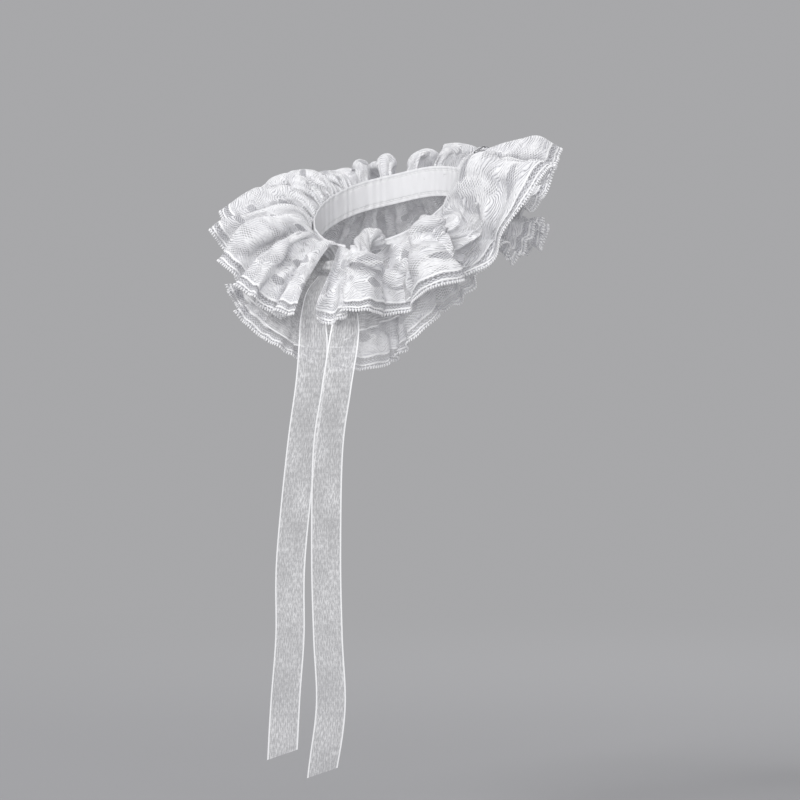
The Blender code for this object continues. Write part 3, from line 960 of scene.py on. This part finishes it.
def ribbon_points(name):
    """A ribbon's points: its route's middle line, with its width laid across in even parts.

    The curve runs smoothly through the route. Across it the points stand from the wearer's left
    edge to the right one, so that the ribbon's face looks forward, and the last part of the
    ribbon falls lower on one edge than the other, which cuts its end aslant.
    """
    columns, rows = RIBBON_GRID
    route = as_columns(RIBBON_COLUMNS, RIBBON_ROUTES[name])
    known = np.arange(len(route["across"]), dtype=float)
    at = np.linspace(0.0, known[-1], columns + 1)
    curves = (smooth_through(known, route[column], at) for column in RIBBON_COLUMNS)
    across, forward, height, facing, open_share = curves
    sideways = np.stack([np.cos(np.radians(facing)), np.sin(np.radians(facing)), 0 * at], -1)
    middle = np.stack([across, -forward, height], -1)
    part = np.linspace(1.0, -1.0, rows + 1)
    half = sideways * open_share[:, None] * RIBBON_WIDTH / 2
    points = middle[:, None, :] + half[:, None, :] * part[None, :, None]
    end = np.clip(1 + (at - known[-1]) / RIBBON_END_STEPS, 0, 1) ** 2
    points[:, :, 2] += end[:, None] * part * RIBBON_END_SLANT / 2
    return points


def build_ribbon(name, material):
    """A tail of the tie, and the length of its middle line."""
    points = ribbon_points(name)
    middle = points[:, RIBBON_GRID[1] // 2]
    run = np.linalg.norm(np.diff(middle, axis=0), axis=-1)
    along = np.concatenate([[0.0], np.cumsum(run)])
    mesh = cloth_mesh(name, points, along, np.linspace(RIBBON_WIDTH, 0.0, points.shape[1]))
    piece = add_piece(name.replace("tie_", ""), mesh, name, material)
    return piece, float(along[-1])


# ---------------------------------------------------------------- the stage


def build_stage():
    """A plain pale floor that melts into a soft world of the same grey."""
    world = bpy.data.worlds.new("studio")
    bpy.context.scene.world = world
    world.use_nodes = True
    back = world.node_tree.nodes["Background"]
    back.inputs["Color"].default_value = WORLD_GREY
    back.inputs["Strength"].default_value = 1.0
    turns = np.linspace(0.0, ROUND, 97)[:, None]
    reach = np.array(FLOOR_RADII)
    x = np.cos(turns) * reach
    points = np.stack([x, np.sin(turns) * reach, np.full(x.shape, FLOOR_Z)], -1)
    mesh = mesh_from("floor", points.reshape(-1, 3), grid_faces(*x.shape))
    mesh.flip_normals()
    material = bpy.data.materials.new("floor")
    material.use_nodes = True
    tree = material.node_tree
    shader = tree.nodes["Principled BSDF"]
    shader.inputs["Base Color"].default_value = FLOOR_GREY
    shader.inputs["Roughness"].default_value = 1.0
    shader.inputs["Specular IOR Level"].default_value = 0.0
    place = tree.nodes.new("ShaderNodeTexCoord").outputs["Object"]
    far = tree.nodes.new("ShaderNodeVectorMath")
    far.operation = "LENGTH"
    tree.links.new(place, far.inputs[0])
    glow = tree.nodes.new("ShaderNodeEmission")
    glow.inputs["Color"].default_value = WORLD_GREY
    mix = tree.nodes.new("ShaderNodeMixShader")
    put(tree, Reading(tree, far.outputs["Value"]).step(*FLOOR_MELTS), mix.inputs["Fac"])
    tree.links.new(shader.outputs[0], mix.inputs[1])
    tree.links.new(glow.outputs[0], mix.inputs[2])
    tree.links.new(mix.outputs[0], tree.nodes["Material Output"].inputs["Surface"])
    mesh.materials.append(material)
    floor = bpy.data.objects.new("floor", mesh)
    bpy.context.scene.collection.objects.link(floor)


def add_light(name, place, size, power):
    """A square soft light that faces the collar."""
    light = bpy.data.lights.new(name, "AREA")
    light.size = size
    light.energy = power
    lamp = bpy.data.objects.new(name, light)
    bpy.context.scene.collection.objects.link(lamp)
    aim_at(lamp, place, LIGHTS_AIM)


def aim_at(thing, place, target):
    """Puts a lamp or the camera in its place, facing a point."""
    thing.location = place
    thing.rotation_mode = "QUATERNION"
    thing.rotation_quaternion = (Vector(target) - Vector(place)).to_track_quat("-Z", "Y")


def build_camera():
    """The camera: low, from the wearer's front left, with a long lens."""
    turn = math.radians(CAMERA_TURN)
    rise = math.radians(CAMERA_RISE)
    target = Vector((VIEW_ASIDE * math.cos(turn), VIEW_ASIDE * math.sin(turn), VIEW_Z))
    level = math.cos(rise)
    away = Vector((math.sin(turn) * level, -math.cos(turn) * level, math.sin(rise)))
    camera = bpy.data.cameras.new("camera")
    camera.sensor_width = SENSOR_WIDE
    camera.lens = SENSOR_WIDE * CAMERA_DISTANCE / VIEW_WIDE
    camera.clip_end = 200.0
    eye = bpy.data.objects.new("camera", camera)
    bpy.context.scene.collection.objects.link(eye)
    bpy.context.scene.camera = eye
    aim_at(eye, target + away * CAMERA_DISTANCE, target)


# ---------------------------------------------------------------- the collar on its stage

bpy.context.scene.view_settings.view_transform = "Standard"
build_camera()
build_stage()
for name, (place, size, power) in LIGHTS.items():
    add_light(name, place, size, power)

lace = lace_material("white lace", strip_width("ruffle_top_lace"))
under = lace_material("white under lace", strip_width("ruffle_under_lace"))
organza = organza_material("white organza", strip_width("ruffle_organza"), 0.45, False)
ribbon = organza_material("organza ribbon", RIBBON_WIDTH, 0.50, True)
thread = thread_material("white thread")
tape = tape_material("white tape")

for name, material, slot in (
    ("ruffle_top_lace", lace, "lace"),
    ("ruffle_organza", organza, "organza"),
    ("ruffle_under_lace", under, "lace"),
):
    piece, points = build_ruffle(name, material)
    trims = [build_picots(name, points, thread)] if slot == "lace" else []

band = build_band(tape)
build_knot(ribbon)

for name in RIBBON_ROUTES:
    piece, length = build_ribbon(name, ribbon)
